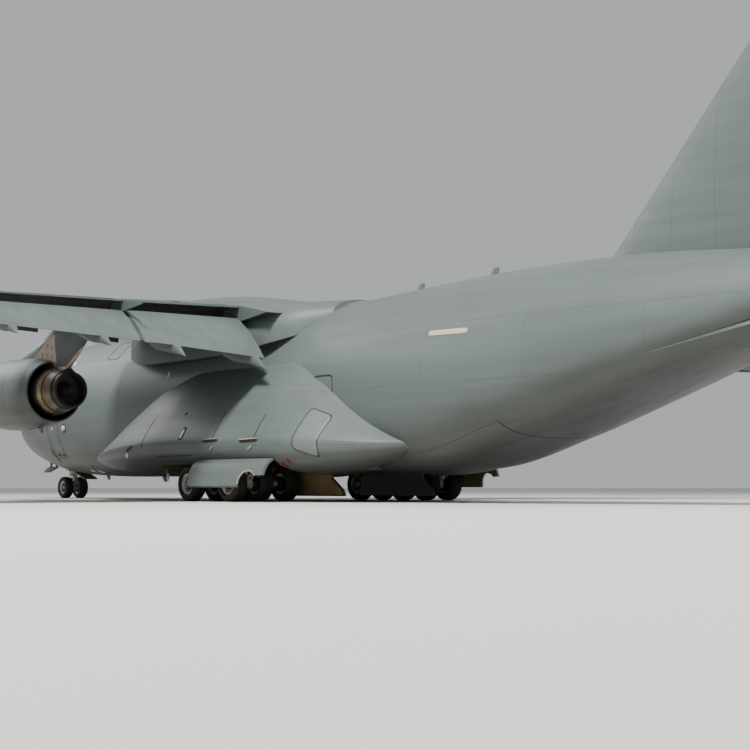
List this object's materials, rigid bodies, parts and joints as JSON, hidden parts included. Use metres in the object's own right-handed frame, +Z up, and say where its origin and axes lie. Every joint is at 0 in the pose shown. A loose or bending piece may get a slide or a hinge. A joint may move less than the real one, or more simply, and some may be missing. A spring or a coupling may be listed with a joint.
{
  "type": "military transport plane, 1:2 scale model",
  "caption": "High-wing jet transport plane with a T-tail, standing on its landing gear with the flaps down; rear ramp, doors and control surfaces move.",
  "frame": {"origin": "on the ground plane under the middle of the plane's length and span, where the tyres stand", "axes": "+Z up, +Y aft along the fuselage, +X to port"},
  "size_m": [25.87, 26.52, 8.395],
  "materials": {
    "grey_paint": "satin grey aircraft paint",
    "primer_tan": "matt tan primer on the inner doors",
    "gear_enamel": "semi-gloss light grey enamel on the landing gear",
    "cargo_floor_grey": "worn matt grey floor paint",
    "flight_deck_grey": "matt dark grey cabin paint",
    "heat_stained_metal": "bare nozzle metal, stained by heat",
    "fan_titanium": "bare dark fan blades",
    "tyre_rubber": "matt black tyres on pale hubs",
    "cockpit_glass": "dark coated windscreen glass"
  },
  "bodies": {
    "airframe": {"nose_section": "grey_paint", "centre_section": "grey_paint", "tail_section": "grey_paint", "cockpit_glass": "cockpit_glass", "flight_deck": "flight_deck_grey", "cargo_floor": "cargo_floor_grey", "wing_fairing": "grey_paint", "wing_left": "grey_paint", "wing_right": "grey_paint", "nacelle_inner_left": "grey_paint", "nacelle_inner_right": "grey_paint", "engine_core_inner_left": "heat_stained_metal", "engine_core_inner_right": "heat_stained_metal", "nacelle_outer_left": "grey_paint", "nacelle_outer_right": "grey_paint", "engine_core_outer_left": "heat_stained_metal", "engine_core_outer_right": "heat_stained_metal", "gear_pod_left": "grey_paint", "gear_pod_right": "grey_paint", "pod_outer_door_left": "grey_paint", "pod_outer_door_right": "grey_paint", "pod_inner_door_left": "primer_tan", "pod_inner_door_right": "primer_tan", "main_gear_left": "gear_enamel", "main_gear_right": "gear_enamel", "nose_leg": "gear_enamel", "nose_door_left": "grey_paint", "nose_door_right": "grey_paint", "fin": "grey_paint", "stabilizer": "grey_paint"},
    "main_wheels_front_left": {"main_wheels_front_left": "tyre_rubber"},
    "main_wheels_front_right": {"main_wheels_front_right": "tyre_rubber"},
    "main_wheels_rear_left": {"main_wheels_rear_left": "tyre_rubber"},
    "main_wheels_rear_right": {"main_wheels_rear_right": "tyre_rubber"},
    "nose_steering": {"nose_fork": "gear_enamel"},
    "nose_wheels": {"nose_wheels": "tyre_rubber"},
    "fan_inner_left": {"fan_inner_left": "fan_titanium"},
    "fan_inner_right": {"fan_inner_right": "fan_titanium"},
    "fan_outer_left": {"fan_outer_left": "fan_titanium"},
    "fan_outer_right": {"fan_outer_right": "fan_titanium"},
    "flap_inner_left": {"flap_inner_left": "grey_paint"},
    "flap_inner_right": {"flap_inner_right": "grey_paint"},
    "flap_outer_left": {"flap_outer_left": "grey_paint"},
    "flap_outer_right": {"flap_outer_right": "grey_paint"},
    "aileron_left": {"aileron_left": "grey_paint"},
    "aileron_right": {"aileron_right": "grey_paint"},
    "elevator_left": {"elevator_left": "grey_paint"},
    "elevator_right": {"elevator_right": "grey_paint"},
    "rudder_lower": {"rudder_lower": "grey_paint"},
    "rudder_upper": {"rudder_upper": "grey_paint"},
    "cargo_ramp": {"cargo_ramp": "grey_paint"},
    "cargo_door": {"cargo_door": "grey_paint"},
    "crew_door": {"crew_door": "grey_paint"}
  },
  "joints": [
    {"name": "main_wheels_front_left_spin", "type": "hinge", "parent": "airframe", "child": "main_wheels_front_left", "pos_m": [2.2425, -2.185, 0.3175], "axis": [1, 0, 0], "continuous": true},
    {"name": "main_wheels_front_right_spin", "type": "hinge", "parent": "airframe", "child": "main_wheels_front_right", "pos_m": [-2.2425, -2.185, 0.3175], "axis": [1, 0, 0], "continuous": true},
    {"name": "main_wheels_rear_left_spin", "type": "hinge", "parent": "airframe", "child": "main_wheels_rear_left", "pos_m": [2.2425, -0.86, 0.3175], "axis": [1, 0, 0], "continuous": true},
    {"name": "main_wheels_rear_right_spin", "type": "hinge", "parent": "airframe", "child": "main_wheels_rear_right", "pos_m": [-2.2425, -0.86, 0.3175], "axis": [1, 0, 0], "continuous": true},
    {"name": "nose_steer", "type": "hinge", "parent": "airframe", "child": "nose_steering", "pos_m": [0, -11.56, 0.5], "axis": [0, 0, 1], "range_deg": [-65, 65]},
    {"name": "nose_wheels_spin", "type": "hinge", "parent": "nose_steering", "child": "nose_wheels", "pos_m": [0, -11.56, 0.254], "axis": [1, 0, 0], "continuous": true},
    {"name": "fan_inner_left_spin", "type": "hinge", "parent": "airframe", "child": "fan_inner_left", "pos_m": [4.1, -6.162, 2.06], "axis": [0, 1, 0], "continuous": true},
    {"name": "fan_inner_right_spin", "type": "hinge", "parent": "airframe", "child": "fan_inner_right", "pos_m": [-4.1, -6.162, 2.06], "axis": [0, 1, 0], "continuous": true},
    {"name": "fan_outer_left_spin", "type": "hinge", "parent": "airframe", "child": "fan_outer_left", "pos_m": [7.1, -4.572, 1.87], "axis": [0, 1, 0], "continuous": true},
    {"name": "fan_outer_right_spin", "type": "hinge", "parent": "airframe", "child": "fan_outer_right", "pos_m": [-7.1, -4.572, 1.87], "axis": [0, 1, 0], "continuous": true},
    {"name": "flap_inner_left_retract", "type": "hinge", "parent": "airframe", "child": "flap_inner_left", "pos_m": [3.245, -1.85919, 2.85757], "axis": [0.9782, 0.2063, 0.025], "range_deg": [0, 35]},
    {"name": "flap_inner_right_retract", "type": "hinge", "parent": "airframe", "child": "flap_inner_right", "pos_m": [-3.245, -1.85919, 2.85757], "axis": [0.9782, -0.2063, -0.025], "range_deg": [0, 35]},
    {"name": "flap_outer_left_retract", "type": "hinge", "parent": "airframe", "child": "flap_outer_left", "pos_m": [6.575, -0.99247, 2.89061], "axis": [0.9601, 0.2795, -0.0003], "range_deg": [0, 35]},
    {"name": "flap_outer_right_retract", "type": "hinge", "parent": "airframe", "child": "flap_outer_right", "pos_m": [-6.575, -0.99247, 2.89061], "axis": [0.9601, -0.2795, 0.0003], "range_deg": [0, 35]},
    {"name": "aileron_left_turn", "type": "hinge", "parent": "airframe", "child": "aileron_left", "pos_m": [10.3625, 0.12022, 3.10415], "axis": [0.9594, 0.2778, -0.0485], "range_deg": [-25, 25]},
    {"name": "elevator_left_turn", "type": "hinge", "parent": "airframe", "child": "elevator_left", "pos_m": [2.5125, 12.23497, 8.03463], "axis": [0.9612, 0.2744, -0.0288], "range_deg": [-15, 25]},
    {"name": "aileron_right_turn", "type": "hinge", "parent": "airframe", "child": "aileron_right", "pos_m": [-10.3625, 0.12022, 3.10415], "axis": [0.9594, -0.2778, 0.0485], "range_deg": [-25, 25]},
    {"name": "elevator_right_turn", "type": "hinge", "parent": "airframe", "child": "elevator_right", "pos_m": [-2.5125, 12.23497, 8.03463], "axis": [0.9612, -0.2744, 0.0288], "range_deg": [-15, 25]},
    {"name": "rudder_lower_turn", "type": "hinge", "parent": "airframe", "child": "rudder_lower", "pos_m": [0, 9.52264, 5], "axis": [0, 0.5525, 0.8335], "range_deg": [-30, 30]},
    {"name": "rudder_upper_turn", "type": "hinge", "parent": "airframe", "child": "rudder_upper", "pos_m": [0, 10.71568, 6.8], "axis": [0, 0.5525, 0.8335], "range_deg": [-30, 30]},
    {"name": "cargo_ramp_lower", "type": "hinge", "parent": "airframe", "child": "cargo_ramp", "pos_m": [0, 1.43, 0.52], "axis": [1, 0, 0], "range_deg": [-16, 0]},
    {"name": "cargo_door_raise", "type": "hinge", "parent": "airframe", "child": "cargo_door", "pos_m": [0, 8.465, 2.34], "axis": [1, 0, 0], "range_deg": [-20, 0]},
    {"name": "crew_door_open", "type": "hinge", "parent": "airframe", "child": "crew_door", "pos_m": [1.4, -9.46, 0.975], "axis": [0, 1, 0], "range_deg": [0, 100]}
  ]
}
